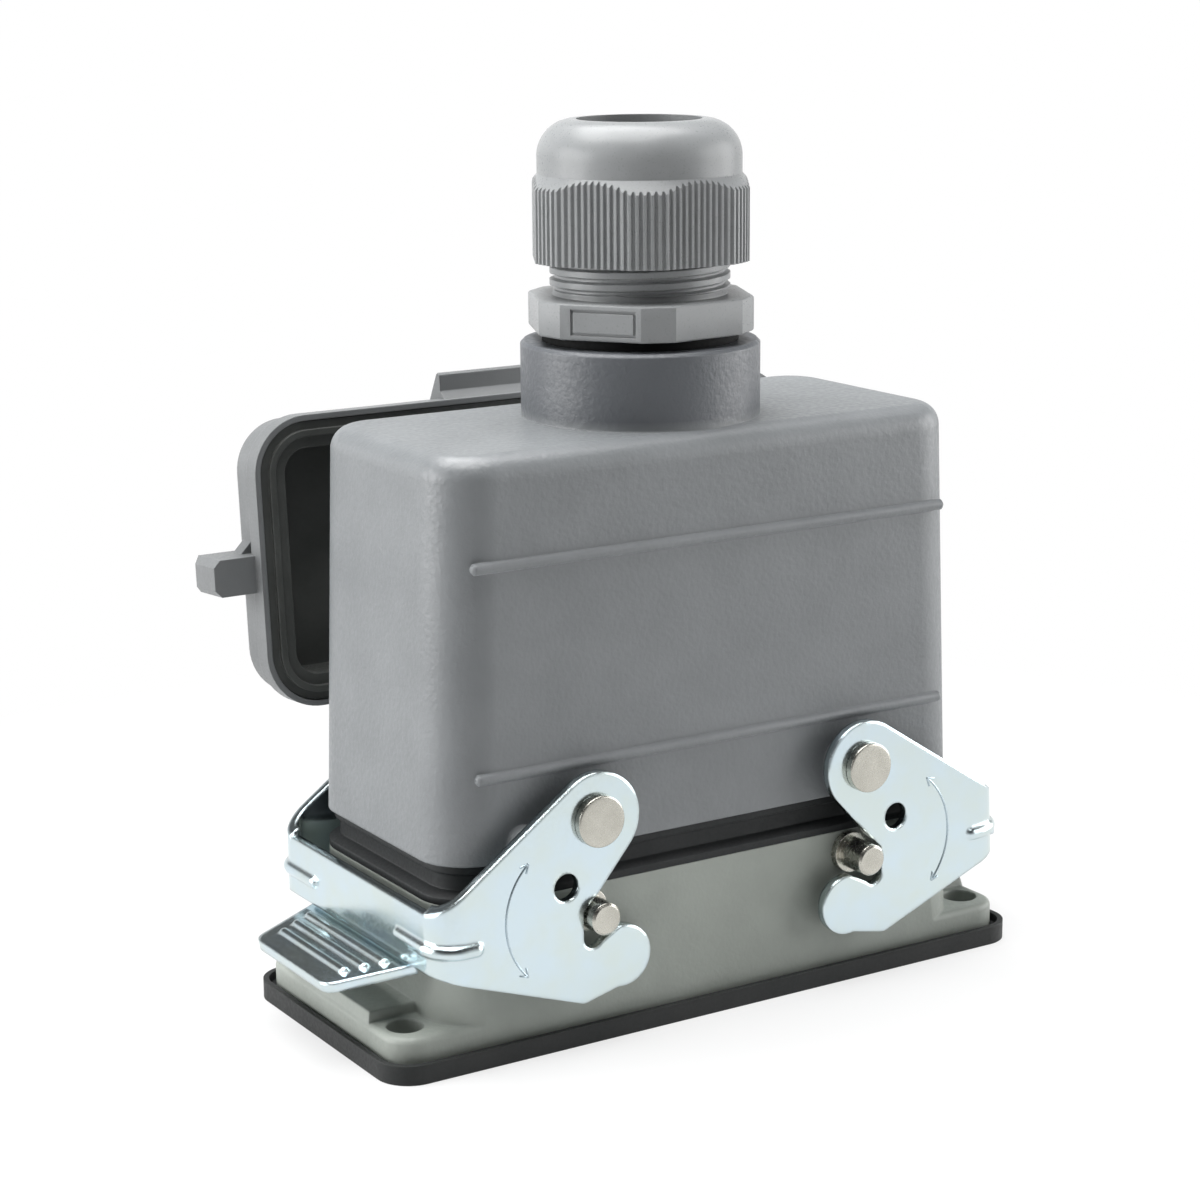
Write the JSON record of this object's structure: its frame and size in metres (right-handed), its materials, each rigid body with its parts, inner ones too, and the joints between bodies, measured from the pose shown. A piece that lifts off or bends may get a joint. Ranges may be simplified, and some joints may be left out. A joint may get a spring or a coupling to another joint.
{
  "type": "heavy duty rectangular connector",
  "caption": "Rectangular industrial connector: hood with top cable gland and two end locking levers, on a bulkhead housing with a hinged cover open behind.",
  "frame": {"origin": "centre of the four panel screws, on the underside of the flange gasket", "axes": "+Z out of the panel along the gland axis, X along the length of the connector, the hinged cover on the +Y side"},
  "size_m": [0.1253, 0.0701, 0.1334],
  "materials": {
    "gasket_rubber": "matte",
    "seal_rubber": "matte",
    "powder_coated_housing": "satin",
    "powder_coated_hood": "satin",
    "nickel_steel": "satin",
    "zinc_plated_steel": "bright",
    "insert_plastic": "matte",
    "contact_metal": "bright",
    "cover_plastic": "satin",
    "gland_plastic": "satin"
  },
  "bodies": {
    "housing": {"flange_gasket": "gasket_rubber", "base_housing": "powder_coated_housing", "housing_seal": "seal_rubber", "locking_pins": "nickel_steel", "socket_insert": "insert_plastic", "socket_contacts": "contact_metal", "socket_terminal_screws": "zinc_plated_steel", "socket_insert_screws": "zinc_plated_steel", "socket_earth_plates": "zinc_plated_steel", "hood_shell": "powder_coated_hood", "lever_rivets": "nickel_steel", "pin_insert": "insert_plastic", "contact_pins": "contact_metal", "pin_terminal_screws": "zinc_plated_steel", "pin_insert_screws": "zinc_plated_steel", "pin_earth_plates": "zinc_plated_steel", "cover_hinge_pin": "nickel_steel", "gland_washer": "seal_rubber", "gland_body": "gland_plastic"},
    "left_yoke": {"left_lever": "zinc_plated_steel"},
    "right_yoke": {"right_lever": "zinc_plated_steel"},
    "cover": {"cover_shell": "cover_plastic", "cover_seal": "seal_rubber"},
    "clamp_cage": {"gland_cage": "gland_plastic", "gland_seal": "seal_rubber"},
    "dome_nut": {"gland_nut": "gland_plastic"}
  },
  "joints": [
    {"name": "left_lever_pivot", "type": "hinge", "parent": "housing", "child": "left_yoke", "pos_m": [-0.0244, 0, 0.03525], "axis": [0, 1, 0], "range_deg": [0, 52]},
    {"name": "right_lever_pivot", "type": "hinge", "parent": "housing", "child": "right_yoke", "pos_m": [0.0244, 0, 0.03525], "axis": [0, -1, 0], "range_deg": [-3, 49]},
    {"name": "cover_hinge", "type": "hinge", "parent": "housing", "child": "cover", "pos_m": [0, 0.034, 0.031], "axis": [1, 0, 0], "range_deg": [0, 5]},
    {"name": "cage_slide", "type": "slide", "parent": "housing", "child": "clamp_cage", "axis": [0, 0, -1], "range_m": [0, 0.0032]},
    {"name": "nut_turn", "type": "hinge", "parent": "clamp_cage", "child": "dome_nut", "pos_m": [0, 0, 0.12], "axis": [0, 0, -1], "range_deg": [0, 720]}
  ],
  "couplings": [
    {"joint": "cage_slide", "follows": "nut_turn", "m_per_rad": 0.00025266}
  ]
}
